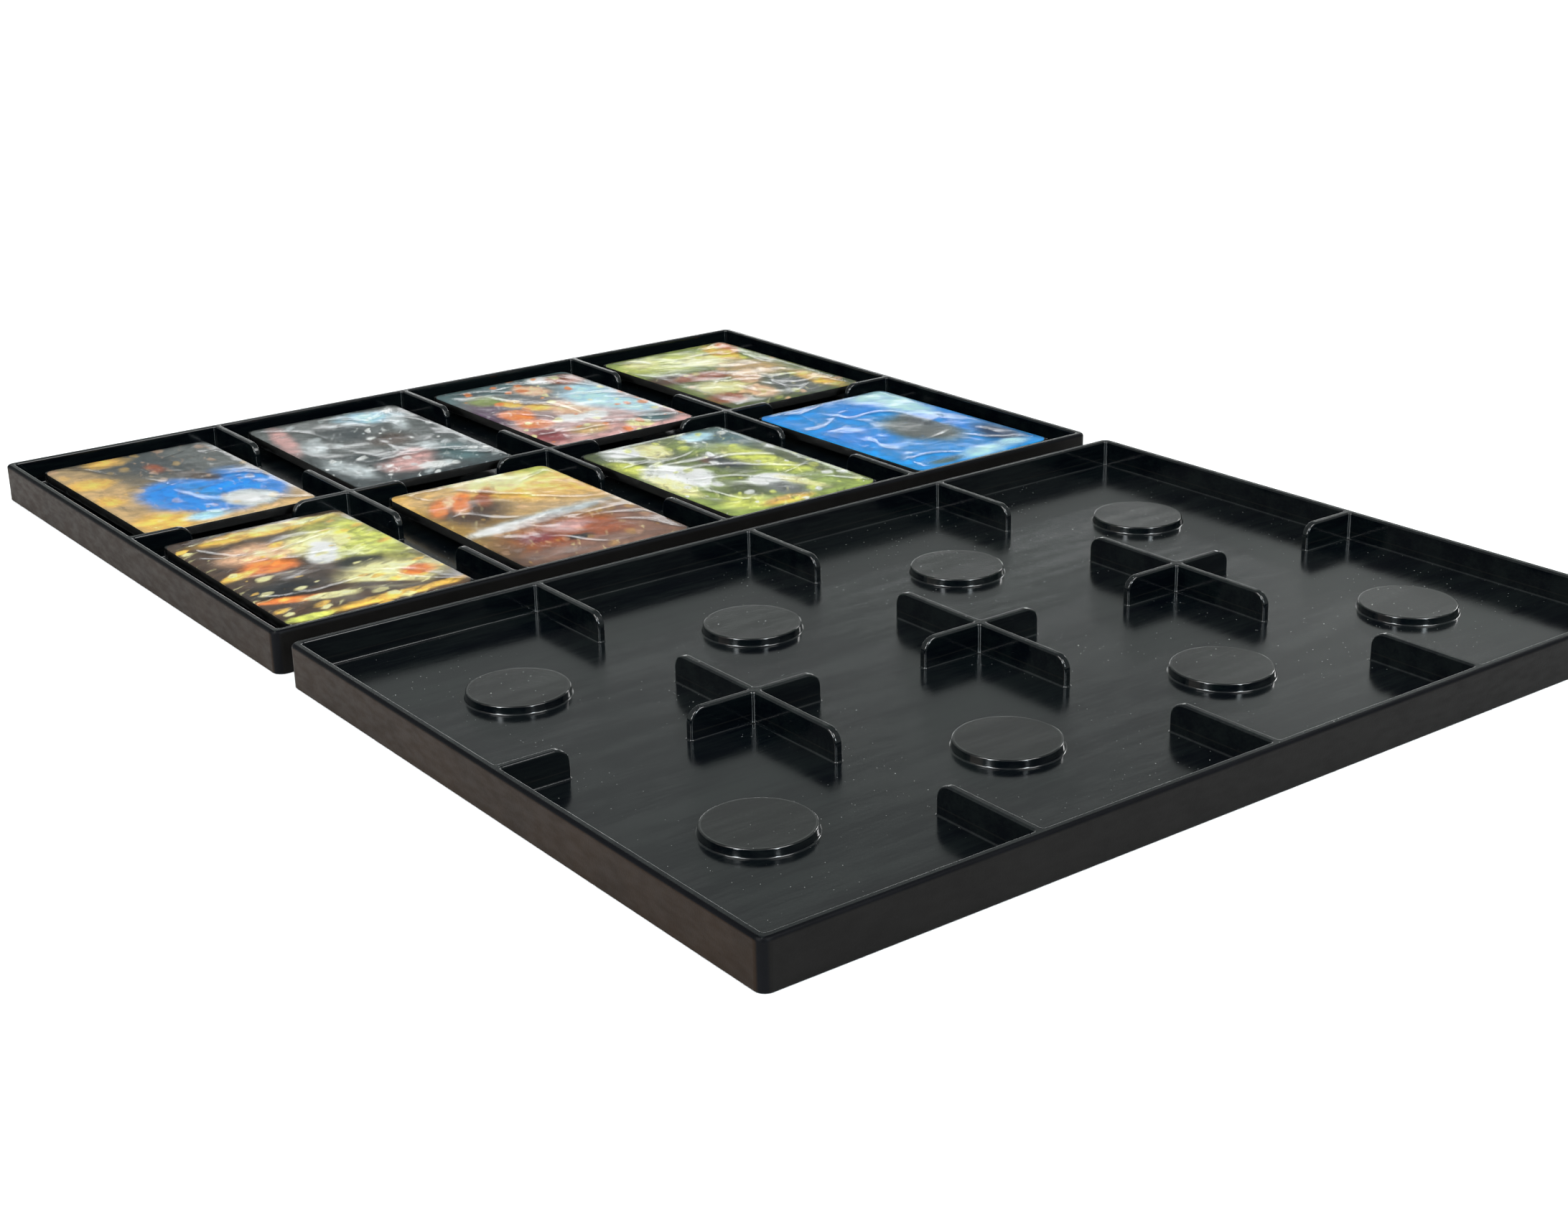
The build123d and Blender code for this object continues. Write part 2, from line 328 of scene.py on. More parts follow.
# Pictures on the face cards, each of soft shapes in a generic landscape of colour. A shape is
# (across, along, half width, half length, turn in degrees, softness, colour), where the card
# reaches from -1 to 1 both ways. Colours are linear.
BLACK = (0.010, 0.012, 0.016)
SLATE = (0.060, 0.075, 0.080)
GREY = (0.150, 0.165, 0.160)
SILVER = (0.50, 0.55, 0.56)
WHITE = (0.88, 0.90, 0.88)
CREAM = (0.90, 0.85, 0.44)
LIME = (0.62, 0.66, 0.15)
LEAF = (0.30, 0.38, 0.10)
MOSS = (0.10, 0.13, 0.05)
GOLD = (0.92, 0.58, 0.12)
SAND = (0.60, 0.42, 0.20)
ORANGE = (0.90, 0.28, 0.06)
RUST = (0.38, 0.10, 0.03)
BROWN = (0.085, 0.050, 0.032)
PEACH = (0.94, 0.60, 0.38)
TAUPE = (0.27, 0.15, 0.11)
ROSE = (0.62, 0.38, 0.36)
WINE = (0.28, 0.05, 0.06)
PLUM = (0.12, 0.06, 0.12)
BLUE = (0.003, 0.30, 0.82)
SKY = (0.012, 0.32, 0.72)
ICE = (0.50, 0.78, 0.92)
NAVY = (0.012, 0.055, 0.15)
TEAL = (0.09, 0.17, 0.18)

PICTURES = (
    {"ground": (SAND, SLATE), "shapes": (
        (-0.80, 0.10, 0.34, 0.90, 4, 0.5, SAND), (-0.78, 0.42, 0.26, 0.14, 0, 0.4, GOLD),
        (-0.30, 0.92, 0.26, 0.12, 0, 0.5, GOLD), (0.66, 0.52, 0.46, 0.60, -6, 0.5, GREY),
        (0.10, 0.55, 0.34, 0.36, 8, 0.5, SLATE), (0.06, 0.52, 0.09, 0.12, 0, 0.6, RUST),
        (-0.86, -0.10, 0.14, 0.14, 0, 0.5, GOLD), (-0.10, -0.22, 0.48, 0.36, -8, 0.3, BLUE),
        (0.16, -0.48, 0.70, 0.38, 12, 0.3, BLUE), (0.66, -0.30, 0.36, 0.44, 0, 0.4, BLUE),
        (0.12, -0.34, 0.14, 0.26, 10, 0.7, SKY), (-0.66, -0.80, 0.36, 0.22, -10, 0.4, GOLD),
        (-0.22, -0.86, 0.22, 0.10, 0, 0.5, ICE), (0.44, -0.66, 0.30, 0.22, 0, 0.16, SILVER),
        (0.42, -0.66, 0.22, 0.16, 0, 0.6, WHITE), (0.34, 0.12, 0.12, 0.20, 30, 0.6, BROWN)),
     "dark": BLACK, "light": PEACH, "spots_and_glints": (GOLD, PEACH, 0.35), "turn": 78, "detail": 0.5},
    {"ground": (SLATE, GREY), "shapes": (
        (0.0, 0.16, 0.66, 0.62, 0, 0.6, GREY), (-0.84, 0.52, 0.12, 0.42, -12, 0.5, ROSE),
        (-0.66, 0.20, 0.14, 0.22, -14, 0.5, SILVER), (0.46, 0.76, 0.36, 0.16, -20, 0.5, ICE),
        (0.66, 0.48, 0.12, 0.24, -16, 0.5, SILVER), (0.20, 0.06, 0.26, 0.18, 0, 0.6, BROWN),
        (-0.10, 0.40, 0.30, 0.26, 0, 0.7, SLATE), (-0.74, -0.52, 0.18, 0.30, 6, 0.4, SILVER),
        (-0.12, -0.66, 0.30, 0.20, -16, 0.4, ROSE), (0.20, -0.46, 0.20, 0.16, 10, 0.6, ROSE),
        (0.12, -0.82, 0.22, 0.10, 0, 0.4, WHITE), (-0.40, -0.34, 0.14, 0.22, 24, 0.6, SLATE),
        (0.62, -0.60, 0.26, 0.30, 0, 0.5, TEAL), (0.46, -0.30, 0.12, 0.12, 0, 0.6, SILVER)),
     "dark": BLACK, "light": WHITE, "spots_and_glints": (SILVER, WHITE, 0.75), "turn": 60, "detail": 0.8},
    {"ground": (ROSE, TEAL), "shapes": (
        (-0.84, 0.24, 0.22, 0.50, -18, 0.5, PLUM), (-0.44, 0.34, 0.14, 0.13, 0, 0.3, GOLD),
        (-0.60, 0.56, 0.22, 0.16, 0, 0.5, LEAF), (-0.66, -0.02, 0.20, 0.18, 0, 0.3, ORANGE),
        (-0.70, -0.32, 0.20, 0.16, 0, 0.3, ORANGE), (-0.24, 0.10, 0.18, 0.13, 0, 0.4, GOLD),
        (0.50, 0.84, 0.20, 0.14, 0, 0.3, WHITE), (0.78, 0.74, 0.22, 0.20, 0, 0.4, RUST),
        (0.12, 0.62, 0.20, 0.18, 0, 0.4, PEACH), (0.10, -0.08, 0.30, 0.24, 0, 0.5, PEACH),
        (-0.18, -0.36, 0.18, 0.12, 0, 0.4, WHITE), (0.12, -0.40, 0.16, 0.12, 0, 0.4, WHITE),
        (0.58, 0.14, 0.34, 0.40, -12, 0.5, ICE), (0.74, -0.34, 0.26, 0.28, 0, 0.4, ICE),
        (-0.84, -0.70, 0.20, 0.22, 0, 0.5, WINE), (0.34, -0.84, 0.18, 0.12, 0, 0.3, CREAM),
        (-0.30, -0.74, 0.26, 0.14, 20, 0.4, SAND), (0.66, -0.78, 0.24, 0.16, 0, 0.5, TEAL)),
     "dark": BROWN, "light": WHITE, "spots_and_glints": (ORANGE, CREAM, 0.9), "turn": 64, "detail": 0.7},
    {"ground": (MOSS, LEAF), "shapes": (
        (-0.30, 0.66, 0.66, 0.26, 6, 0.5, LIME), (0.24, 0.52, 0.30, 0.24, -10, 0.4, CREAM),
        (-0.62, 0.80, 0.22, 0.14, 0, 0.5, CREAM), (0.86, 0.80, 0.12, 0.24, -14, 0.4, ORANGE),
        (0.62, 0.66, 0.16, 0.30, -10, 0.5, GOLD), (-0.78, 0.14, 0.40, 0.16, -6, 0.4, BROWN),
        (-0.34, 0.06, 0.44, 0.14, -8, 0.4, RUST), (0.46, 0.04, 0.36, 0.30, 0, 0.5, SAND),
        (-0.50, -0.34, 0.34, 0.20, 10, 0.5, CREAM), (0.06, -0.22, 0.18, 0.20, -20, 0.4, PEACH),
        (-0.22, -0.66, 0.20, 0.18, -16, 0.5, PEACH), (-0.74, -0.66, 0.24, 0.16, 0, 0.5, RUST),
        (0.30, -0.66, 0.32, 0.34, 0, 0.5, GREY), (0.74, -0.62, 0.16, 0.32, 0, 0.5, GOLD)),
     "dark": BROWN, "light": CREAM, "spots_and_glints": (LIME, PEACH, 0.55), "turn": 52, "detail": 0.7},
    {"ground": (BROWN, BROWN), "shapes": (
        (0.10, 0.86, 0.80, 0.10, 2, 0.4, GOLD), (0.34, 0.90, 0.50, 0.06, 0, 0.5, CREAM),
        (0.64, 0.24, 0.44, 0.50, 0, 0.6, LIME), (0.30, 0.40, 0.44, 0.20, 16, 0.5, CREAM),
        (0.22, 0.16, 0.16, 0.26, -24, 0.4, WHITE), (-0.36, 0.42, 0.36, 0.20, 12, 0.5, PEACH),
        (-0.44, 0.12, 0.30, 0.16, 24, 0.5, ORANGE), (-0.80, 0.06, 0.24, 0.06, 22, 0.4, GOLD),
        (0.84, 0.34, 0.14, 0.46, 0, 0.5, LIME), (-0.20, -0.14, 0.90, 0.12, -4, 0.4, BROWN),
        (0.38, -0.20, 0.26, 0.16, 10, 0.3, BLACK), (-0.60, -0.36, 0.44, 0.16, 0, 0.6, BLACK),
        (0.50, -0.50, 0.48, 0.24, -12, 0.5, CREAM), (0.72, -0.56, 0.18, 0.10, 0, 0.4, ORANGE),
        (-0.70, -0.56, 0.30, 0.06, -14, 0.4, ORANGE), (-0.30, -0.66, 0.26, 0.06, -18, 0.4, CREAM),
        (0.10, -0.62, 0.60, 0.05, -30, 0.5, BROWN), (0.20, -0.92, 0.80, 0.06, 2, 0.4, GOLD),
        (-0.76, -0.94, 0.26, 0.05, 0, 0.4, LIME)),
     "dark": BLACK, "light": CREAM, "spots_and_glints": (GOLD, CREAM, 0.85), "turn": 24, "detail": 1.0},
    {"ground": (BROWN, GOLD), "shapes": (
        (0.44, 0.56, 0.62, 0.46, 0, 0.6, GOLD), (0.24, 0.84, 0.56, 0.20, 0, 0.7, CREAM),
        (0.80, 0.92, 0.22, 0.12, 0, 0.6, LIME), (-0.60, 0.78, 0.44, 0.20, 0, 0.6, SAND),
        (-0.50, 0.30, 0.50, 0.34, -18, 0.5, BROWN), (-0.74, 0.52, 0.10, 0.20, -30, 0.5, ORANGE),
        (-0.44, 0.56, 0.11, 0.24, -30, 0.5, ORANGE), (-0.12, 0.58, 0.10, 0.22, -30, 0.5, RUST),
        (-0.56, 0.60, 0.05, 0.14, -30, 0.6, PEACH), (0.30, 0.10, 0.50, 0.20, 0, 0.7, SAND),
        # Painted reflection: the silver and white band across this card stands in for a glint on its
        # film.
        (-0.10, -0.12, 0.84, 0.10, 8, 0.5, SILVER), (-0.36, -0.16, 0.56, 0.08, 6, 0.4, WHITE),
        (0.40, -0.10, 0.44, 0.05, 10, 0.5, SILVER), (0.0, -0.56, 0.74, 0.36, 0, 0.5, RUST),
        (0.06, -0.40, 0.24, 0.12, 0, 0.6, ROSE), (0.28, -0.56, 0.18, 0.10, 20, 0.4, RUST),
        (-0.44, -0.50, 0.20, 0.10, 10, 0.5, WINE), (0.0, -0.88, 0.90, 0.16, 0, 0.6, TAUPE),
        (0.80, -0.50, 0.20, 0.36, 0, 0.6, TAUPE), (-0.06, -0.66, 0.16, 0.06, 0, 0.5, BLACK)),
     "dark": BROWN, "light": CREAM, "spots_and_glints": (GOLD, PEACH, 0.25), "turn": 66, "detail": 0.6},
    {"ground": (LEAF, MOSS), "shapes": (
        (-0.54, 0.84, 0.26, 0.14, -20, 0.4, WHITE), (-0.24, 0.72, 0.20, 0.20, -20, 0.4, CREAM),
        (0.24, 0.60, 0.22, 0.30, 0, 0.6, LEAF), (0.70, 0.64, 0.40, 0.42, -10, 0.5, TEAL),
        (0.50, 0.84, 0.20, 0.10, 0, 0.5, ICE), (-0.84, 0.44, 0.16, 0.24, 0, 0.5, LIME),
        (-0.66, 0.14, 0.26, 0.26, -20, 0.4, WHITE), (-0.46, -0.06, 0.20, 0.24, -24, 0.3, WHITE),
        (-0.86, -0.14, 0.14, 0.30, 0, 0.5, CREAM), (0.10, 0.24, 0.14, 0.10, 0, 0.4, RUST),
        (0.18, 0.12, 0.24, 0.26, 0, 0.6, SLATE), (0.58, 0.02, 0.24, 0.50, 8, 0.5, LIME),
        (0.86, -0.10, 0.12, 0.50, 0, 0.5, MOSS), (-0.30, -0.54, 0.30, 0.20, 0, 0.6, MOSS),
        (0.12, -0.46, 0.26, 0.16, -24, 0.3, WHITE), (0.34, -0.64, 0.10, 0.24, 14, 0.4, CREAM),
        (0.06, -0.70, 0.20, 0.18, 0, 0.6, GREY), (-0.60, -0.78, 0.26, 0.16, 0, 0.5, LIME),
        (-0.20, -0.92, 0.30, 0.08, 0, 0.5, GOLD), (0.62, -0.72, 0.16, 0.26, 0, 0.5, LEAF)),
     "dark": BLACK, "light": CREAM, "spots_and_glints": (LIME, WHITE, 0.8), "turn": 58, "detail": 0.9},
    {"ground": (SKY, BLUE), "shapes": (
        (-0.20, 0.40, 0.90, 0.60, 0, 0.7, SKY), (0.20, 0.66, 0.50, 0.14, 20, 0.7, BLUE),
        (0.76, 0.62, 0.24, 0.56, -8, 0.5, ICE), (0.60, 0.88, 0.24, 0.12, 0, 0.6, ICE),
        (-0.72, 0.10, 0.20, 0.16, 0, 0.7, NAVY), (-0.62, 0.04, 0.32, 0.30, 0, 0.7, BLUE),
        (0.22, -0.10, 0.44, 0.42, -10, 0.3, TEAL), (0.20, -0.14, 0.36, 0.34, -8, 0.5, GREY),
        (0.38, 0.10, 0.12, 0.20, -10, 0.6, SLATE), (0.64, -0.10, 0.10, 0.42, 6, 0.6, BLUE),
        (-0.50, -0.62, 0.44, 0.34, 0, 0.6, SKY), (0.74, -0.62, 0.22, 0.32, -20, 0.5, NAVY),
        (0.10, -0.90, 0.36, 0.10, 8, 0.5, ICE), (0.62, -0.86, 0.20, 0.08, 0, 0.5, ICE),
        (-0.50, -0.90, 0.20, 0.06, 0, 0.5, TEAL)),
     "dark": NAVY, "light": ICE, "spots_and_glints": (SKY, ICE, 0.15), "turn": 70, "detail": 0.25},
)
ART_LENGTHEN = 68.0 / 44.0
ART_LIMIT = 0.95
ART_DRIFT = 0.16
ART_FINE_DRIFT = 0.07


def card_turn(name):
    """How far a card is turned about Z, from the largest of its upright faces, along its long side."""
    upright = [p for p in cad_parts[name].data.polygons if abs(p.normal.z) < 0.1]
    side = max(upright, key=lambda p: p.area).normal
    return math.atan(side.y / side.x)


def picture_card(number, picture):
    """Printed and varnished face card."""
    name = f"pack_{number}_face_card"
    low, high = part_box(name)
    material = bpy.data.materials.new(f"picture_{number}")
    nodes = Nodes(material)
    place = nodes.add("TexCoord").outputs["Object"]
    unit = (CARD_HALF_WIDTH, CARD_HALF_WIDTH, CARD_HALF_WIDTH)
    art = nodes.placed(place, tuple((low + high) / 2), card_turn(name), unit)
    art = nodes.vector("MULTIPLY", art, (1.0, 1.0, 0.0))
    art = nodes.vector("ADD", art, (0.0, 0.0, 3.0 * number))
    drift = nodes.noise(art, 2.2, 3.0, 0.6, "Color")
    drift = nodes.vector("SUBTRACT", drift, (0.5, 0.5, 0.5))
    bent = nodes.vector("ADD", art, nodes.scaled(drift, ART_DRIFT))
    fine_drift = nodes.noise(art, 9.0, 3.0, 0.6, "Color")
    fine_drift = nodes.vector("SUBTRACT", fine_drift, (0.5, 0.5, 0.5))
    bent = nodes.vector("ADD", bent, nodes.scaled(fine_drift, ART_FINE_DRIFT))
    flat = nodes.vector("MULTIPLY", bent, (1.0, 1.0, 0.0))

    lower, upper = picture["ground"]
    rise = nodes.split(flat)[1]
    colour = nodes.mix(nodes.smooth(rise, -ART_LENGTHEN, ART_LENGTHEN), lower, upper)
    for across, along, half_x, half_y, turn, soft, paint in picture["shapes"]:
        middle = (across, along * ART_LENGTHEN, 0.0)
        size = (half_x, half_y * ART_LENGTHEN, 1.0)
        inside = nodes.placed(flat, middle, math.radians(turn), size)
        cover = nodes.smooth(nodes.vector("LENGTH", inside), 1.0 + soft, 1.0 - soft)
        colour = nodes.mix(cover, colour, paint)

    # Round pale spots, in some cells of a grid drawn out along the smears: partly printed pattern, partly
    # painted highlight standing in for glints on the film.
    warm, light, amount = picture["spots_and_glints"]
    spot_frame = nodes.placed(flat, turn=math.radians(picture["turn"]), scale=(1.7, 1.0, 1.0))
    cells = nodes.add("TexVoronoi", {"Vector": spot_frame, "Scale": 5.5}, voronoi_dimensions="2D")
    chance, hue, _ = nodes.split(cells.outputs["Color"])
    radius = nodes.smooth(chance, 0.40, 1.0, 0.001, 0.48)
    spot = nodes.maths("DIVIDE", cells.outputs["Distance"], radius)
    paint = nodes.mix(nodes.smooth(hue, 0.45, 0.55), warm, light)
    colour = nodes.mix(nodes.smooth(spot, 1.0, 0.4, 0.0, amount), colour, paint)

    # Long smears of light and dark, and small patches of tone.
    detail = picture["detail"]
    smear_frame = nodes.placed(flat, turn=math.radians(picture["turn"]), scale=(4.5, 1.0, 1.0))
    smears = nodes.noise(smear_frame, 10.0, 4.0, 0.6)
    patches = nodes.noise(flat, 5.5, 3.0, 0.6)
    shade = nodes.smooth(smears, 0.44, 0.30, 0.0, 0.5 * detail)
    colour = nodes.mix(shade, colour, picture["dark"])
    glint = nodes.smooth(smears, 0.58, 0.72, 0.0, 0.75 * detail)
    colour = nodes.mix(glint, colour, picture["light"])
    tone = nodes.smooth(patches, 0.32, 0.68, 1.05 - 0.25 * detail, 1.25 + 0.35 * detail)
    colour = nodes.vector("MINIMUM", nodes.scaled(colour, tone), (ART_LIMIT, ART_LIMIT, ART_LIMIT))

    shader = nodes.add("BsdfPrincipled", {
        "Base Color": colour, "Roughness": 0.4, "Specular IOR Level": 0.25})
    nodes.finish(shader.outputs[0])
    return material


def wrapping_film():
    """Clear polypropylene film: see-through, with a hard gloss and fine crinkles."""
    material = bpy.data.materials.new("wrapping_film")
    nodes = Nodes(material)
    place = nodes.add("TexCoord").outputs["Object"]
    crinkle = nodes.noise(place, 130.0, 2.0, 0.5)
    hair = nodes.noise(nodes.placed(place, turn=0.5, scale=(3.0, 1.0, 1.0)), 420.0, 1.0, 0.5)
    normal = nodes.bump(crinkle, 0.30 * MM, 0.8)
    normal = nodes.bump(hair, 0.02 * MM, 0.8, normal=normal)
    gloss = nodes.add("BsdfGlossy", {
        "Color": FILM_GLOSS, "Roughness": FILM_ROUGHNESS, "Normal": normal})
    clear = nodes.add("BsdfTransparent", {"Color": (0.985, 0.988, 0.985)})
    edge = nodes.add("Fresnel", {"IOR": FILM_IOR, "Normal": normal})
    shader = nodes.add("MixShader")
    nodes.feed(shader.inputs[0], edge.outputs[0])
    nodes.feed(shader.inputs[1], clear.outputs[0])
    nodes.feed(shader.inputs[2], gloss.outputs[0])
    nodes.finish(shader.outputs[0])
    return material


def graded(length):
    """Places along a side, from -half to half, close together where the film turns over an edge."""
    half = length / 2
    near = [0.0, 0.08 * MM, 0.2 * MM, 0.4 * MM, 0.9 * MM]
    inner = half - near[-1]
    steps = round(2 * inner / FILM_STEP)
    middle = [-inner + 2 * inner * i / steps for i in range(1, steps)]
    left = [-half + r for r in near]
    right = [half - r for r in reversed(near)]
    return left + middle + right


def film_creases(dice, width, length):
    """Random folds as (x, y, direction, half length, half width, height)."""
    creases = []
    for corner_x in (-1, 1):
        for corner_y in (-1, 1):
            reach = dice.uniform(7, 15) * MM
            lean = math.radians(dice.uniform(35, 65))
            x = corner_x * (width / 2 - reach * math.cos(lean))
            y = corner_y * (length / 2 - reach * math.sin(lean))
            turn = math.atan2(corner_y * math.sin(lean), corner_x * math.cos(lean))
            creases.append((x, y, turn, reach, dice.uniform(1.2, 2.4) * MM, dice.uniform(0.25, 0.5) * MM))
    for _ in range(13):
        x = dice.uniform(-0.42, 0.42) * width
        y = dice.uniform(-0.44, 0.44) * length
        turn = dice.uniform(0, math.pi)
        reach = dice.uniform(5, 20) * MM
        creases.append((x, y, turn, reach, dice.uniform(1.0, 3.2) * MM, dice.uniform(0.12, 0.45) * MM))
    return creases


def film_rise(x, y, creases, seed):
    """Height of the loose film above the face card."""
    flow = Vector((x, y, 0)) / (15 * MM) + Vector((0, 0, seed))
    rise = FILM_WAVE * (0.6 + noise.noise(flow) + 0.4 * noise.noise(flow * 2.3))
    for cx, cy, turn, reach, half_width, height in creases:
        along = (x - cx) * math.cos(turn) + (y - cy) * math.sin(turn)
        across = (y - cy) * math.cos(turn) - (x - cx) * math.sin(turn)
        across += 0.12 * reach * math.sin(3.0 * along / reach + seed)
        fade = max(0.0, 1 - (along / reach) ** 2)
        fold = max(0.0, 1 - abs(across) / (half_width * (0.4 + fade)))
        rise += height * fade * fold ** 1.4
    return min(FILM_MAX_RISE, max(0.0, rise))


def film_wrap(number, material):
    """Crinkled closed film round one pack, in place of the plain CAD skin."""
    name = f"pack_{number}_film"
    low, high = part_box(name)
    _, card_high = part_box(f"pack_{number}_face_card")
    turn = card_turn(f"pack_{number}_face_card")
    centre = (low + high) / 2
    width = FILM_WIDTH
    length = FILM_LENGTH
    dice = random.Random(number)
    creases = film_creases(dice, width, length)
    seed = 7.3 * number
    xs = graded(width)
    ys = graded(length)
    top = card_high.z + FILM_CLEAR
    verts = []
    index = {}

    def plan(x, y):
        """Rounds the four corners of the plan, as the folded film does."""
        over_x = abs(x) - (width / 2 - FILM_CORNER_R)
        over_y = abs(y) - (length / 2 - FILM_CORNER_R)
        if over_x <= 0 or over_y <= 0:
            return x, y
        shrink = max(over_x, over_y) / math.hypot(over_x, over_y)
        new_x = width / 2 - FILM_CORNER_R + over_x * shrink
        new_y = length / 2 - FILM_CORNER_R + over_y * shrink
        return math.copysign(new_x, x), math.copysign(new_y, y)

    def edge_drop(inset):
        """How far the film has dropped, this far in from the pack's side."""
        if inset >= FILM_EDGE_R:
            return 0.0
        return FILM_EDGE_R - math.sqrt(FILM_EDGE_R ** 2 - (FILM_EDGE_R - inset) ** 2)

    def add(key, x, y, z):
        index[key] = len(verts)
        verts.append((x, y, z))

    for i, x in enumerate(xs):
        for j, y in enumerate(ys):
            inset = min(width / 2 - abs(x), length / 2 - abs(y))
            px, py = plan(x, y)
            fade = min(1.0, inset / (2.5 * MM))
            rise = film_rise(px, py, creases, seed) * fade * fade * (3 - 2 * fade)
            drop = edge_drop(inset)
            border = i in (0, len(xs) - 1) or j in (0, len(ys) - 1)
            add(("top", i, j), px, py, top + rise - drop)
            sag = 0.25 * FILM_CLEAR * (1 + noise.noise(Vector((px, py, seed)) / (6 * MM)))
            add(("base", i, j), px, py, low.z + (drop if border or drop else sag))

    last_x = len(xs) - 1
    last_y = len(ys) - 1
    ring = [(i, 0) for i in range(last_x + 1)] + [(last_x, j) for j in range(1, last_y + 1)]
    ring += [(i, last_y) for i in range(last_x - 1, -1, -1)] + [(0, j) for j in range(last_y - 1, 0, -1)]
    side_rows = FILM_SIDE_ROWS
    high_z = top - FILM_EDGE_R
    low_z = low.z + FILM_EDGE_R
    for row in range(1, side_rows):
        share = row / side_rows
        for step, (i, j) in enumerate(ring):
            px, py = plan(xs[i], ys[j])
            out = Vector((px / width, py / length, 0)).normalized()
            pucker = noise.noise(Vector((px, py, seed)) / (2.6 * MM)) + 0.4
            bulge = FILM_BULGE * math.sin(math.pi * share) * max(0.0, pucker)
            z = high_z + (low_z - high_z) * share
            add(("side", row, step), px + out.x * bulge, py + out.y * bulge, z)

    faces = []
    for i in range(len(xs) - 1):
        for j in range(len(ys) - 1):
            corners = ((i, j), (i + 1, j), (i + 1, j + 1), (i, j + 1))
            faces.append([index["top", a, b] for a, b in corners])
            faces.append([index["base", a, b] for a, b in reversed(corners)])
    rows = [[index["top", i, j] for i, j in ring]]
    rows += [[index["side", row, step] for step in range(len(ring))] for row in range(1, side_rows)]
    rows.append([index["base", i, j] for i, j in ring])
    for upper, lower in zip(rows, rows[1:]):
        for step in range(len(ring)):
            after = (step + 1) % len(ring)
            faces.append([upper[after], upper[step], lower[step], lower[after]])

    placed = Matrix.Translation((centre.x, centre.y, 0)) @ Matrix.Rotation(turn, 4, "Z")
    mesh = bpy.data.meshes.new(f"pack_{number}_wrap")
    mesh.from_pydata([placed @ Vector(v) for v in verts], [], faces)
    mesh.update()
    for polygon in mesh.polygons:
        polygon.use_smooth = True
    mesh.materials.append(material)
    wrap = bpy.data.objects.new(f"pack_{number}_wrap", mesh)
    bpy.context.scene.collection.objects.link(wrap)
    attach(wrap, f"pack_{number}")
    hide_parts(name)
    return wrap


def give(node, material):
    """Puts one material in every slot of a CAD node."""
    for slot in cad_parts[node].material_slots:
        slot.material = material


def stage_floor():
    """Plain pale floor, lit from within far off so that it stays pale to the horizon."""
    half = FLOOR_SIZE / 2
    z = cad_low.z - FLOOR_DROP
    mesh = bpy.data.meshes.new("stage_floor")
    corners = [(-half, -half, z), (half, -half, z), (half, half, z), (-half, half, z)]
    mesh.from_pydata(corners, [], [(0, 1, 2, 3)])
    material = bpy.data.materials.new("stage_floor")
    nodes = Nodes(material)
    away = nodes.vector("LENGTH", nodes.add("TexCoord").outputs["Object"])
    shader = nodes.add("BsdfPrincipled", {
        "Base Color": (0.93, 0.93, 0.93), "Roughness": 0.9, "Specular IOR Level": 0.0,
        "Emission Color": (1.0, 1.0, 1.0), "Emission Strength": nodes.smooth(away, 0.5, 1.8, 0.0, 0.8)})
    nodes.finish(shader.outputs[0])
    mesh.materials.append(material)
    floor = bpy.data.objects.new("stage_floor", mesh)
    bpy.context.scene.collection.objects.link(floor)


def sky():
    """Studio surround, a little brighter near the horizon. The camera sees a plain pale wall."""
    world = bpy.data.worlds.new("studio")
    bpy.context.scene.world = world
    nodes = Nodes(world)
    up = nodes.split(nodes.add("TexCoord").outputs["Generated"])[2]
    ramp = nodes.add("ValToRGB", {"Fac": up})
    stops = ramp.color_ramp.elements
    for position, _ in SKY_LEVELS[1:-1]:
        stops.new(position)
    for stop, (position, level) in zip(stops, SKY_LEVELS):
        stop.position = position
        stop.color = (*(level * share for share in SKY_TINT), 1.0)
    surround = nodes.add("Background", {"Color": ramp.outputs[0], "Strength": 1.0})
    wall = nodes.add("Background", {"Color": (0.98, 0.98, 0.98), "Strength": 1.0})
    seen = nodes.add("LightPath").outputs["Is Camera Ray"]
    shader = nodes.add("MixShader")
    nodes.feed(shader.inputs[0], seen)
    nodes.feed(shader.inputs[1], surround.outputs[0])
    nodes.feed(shader.inputs[2], wall.outputs[0])
    nodes.finish(shader.outputs[0], "World")


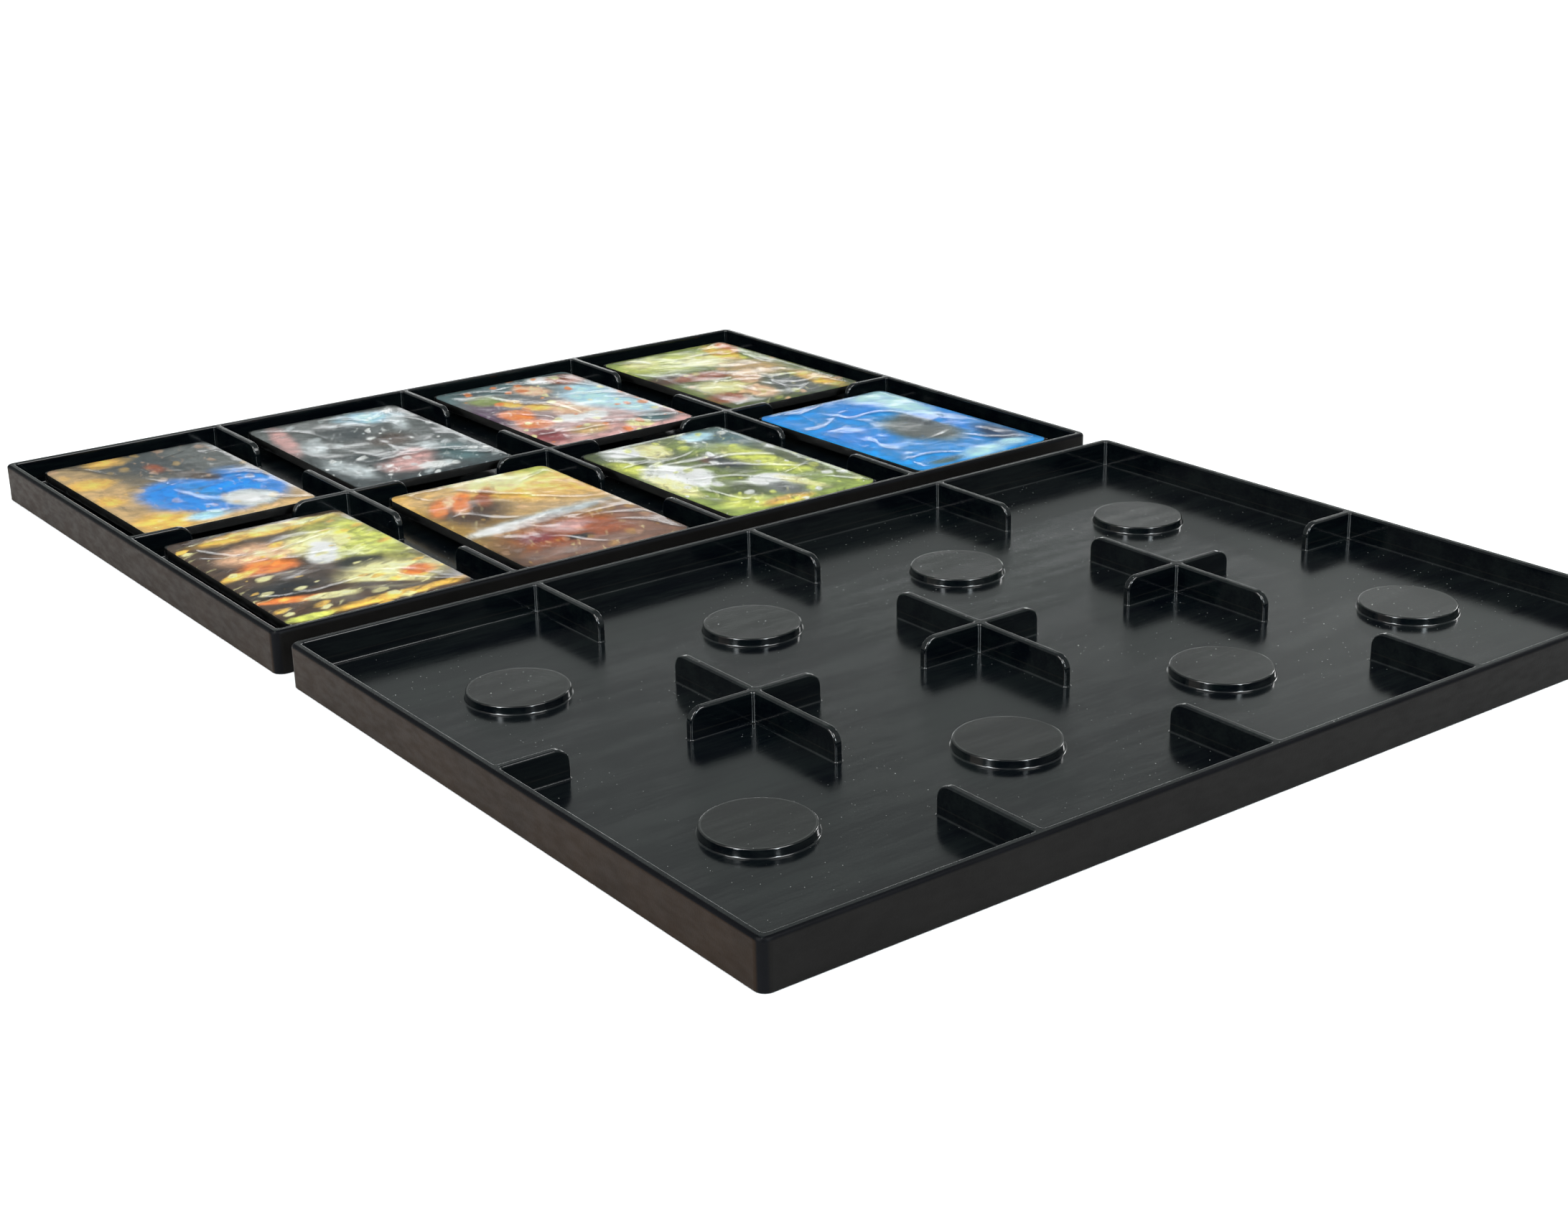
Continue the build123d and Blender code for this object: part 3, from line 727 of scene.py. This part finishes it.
def window_light(name, azimuth, elevation, distance, size, radiance, colour=(1, 1, 1)):
    """Rectangular soft light that faces the trays. Azimuth is turned from the camera's own."""
    turn = CAMERA_AZIMUTH + math.radians(azimuth)
    lift = math.radians(elevation)
    out = Vector((math.sin(turn) * math.cos(lift), -math.cos(turn) * math.cos(lift), math.sin(lift)))
    lamp = bpy.data.lights.new(name, "AREA")
    lamp.shape = "RECTANGLE"
    lamp.size, lamp.size_y = size
    lamp.energy = radiance * math.pi * size[0] * size[1]
    lamp.color = colour
    light = bpy.data.objects.new(name, lamp)
    light.location = (cad_low + cad_high) / 2 + out * distance
    light.rotation_mode = "QUATERNION"
    light.rotation_quaternion = out.to_track_quat("Z", "Y")
    bpy.context.scene.collection.objects.link(light)


def camera():
    """Camera at the photograph's angle."""
    a, e = CAMERA_AZIMUTH, CAMERA_ELEVATION
    back = Vector((math.sin(a) * math.cos(e), -math.cos(a) * math.cos(e), math.sin(e)))
    level = Vector((math.cos(a), math.sin(a), 0.0))
    upright = back.cross(level)
    right = level * math.cos(CAMERA_ROLL) + upright * math.sin(CAMERA_ROLL)
    up = upright * math.cos(CAMERA_ROLL) - level * math.sin(CAMERA_ROLL)
    data = bpy.data.cameras.new("camera")
    data.lens = CAMERA_LENS
    data.sensor_width = 36.0
    data.clip_start = 0.01
    data.clip_end = 100.0
    view = bpy.data.objects.new("camera", data)
    turn = Matrix((right, up, back)).transposed().to_4x4()
    view.matrix_world = Matrix.Translation(CAMERA_TARGET + back * CAMERA_DISTANCE) @ turn
    bpy.context.scene.collection.objects.link(view)
    bpy.context.scene.camera = view


gloss_black = glossy_plastic()
matt_black = matt_plastic()
for tray in ("tray_front", "tray_rear"):
    finish_tray(tray, gloss_black, matt_black)
stock = card_edges()
film = wrapping_film()
for number in range(1, PACK_COUNT + 1):
    give(f"pack_{number}_cards", stock)
    give(f"pack_{number}_face_card", picture_card(number, PICTURES[number - 1]))
    film_wrap(number, film)

stage_floor()
sky()
window_light("window_left", -38, 24, 1.6, (0.22, 0.45), 44.0, (0.90, 0.97, 1.0))
window_light("window_right", 32, 24, 1.6, (0.18, 0.40), 52.0, (0.86, 0.96, 1.0))
window_light("window_side", 140, 22, 1.8, (0.16, 0.30), 26.0)
window_light("window_low", 178, 9, 2.4, (1.7, 0.14), 6.0)
window_light("window_soft", 156, 22, 2.4, (0.7, 0.45), 0.2, (0.95, 1.0, 0.97))
window_light("key_left", -50, 52, 2.0, (1.0, 0.8), 11.0)
window_light("key_right", 50, 52, 2.0, (1.0, 0.8), 11.0)
window_light("warm_end", -66, 18, 2.0, (1.0, 0.5), 1.6, (1.0, 0.84, 0.72))
camera()
bpy.context.scene.view_settings.view_transform = "Standard"
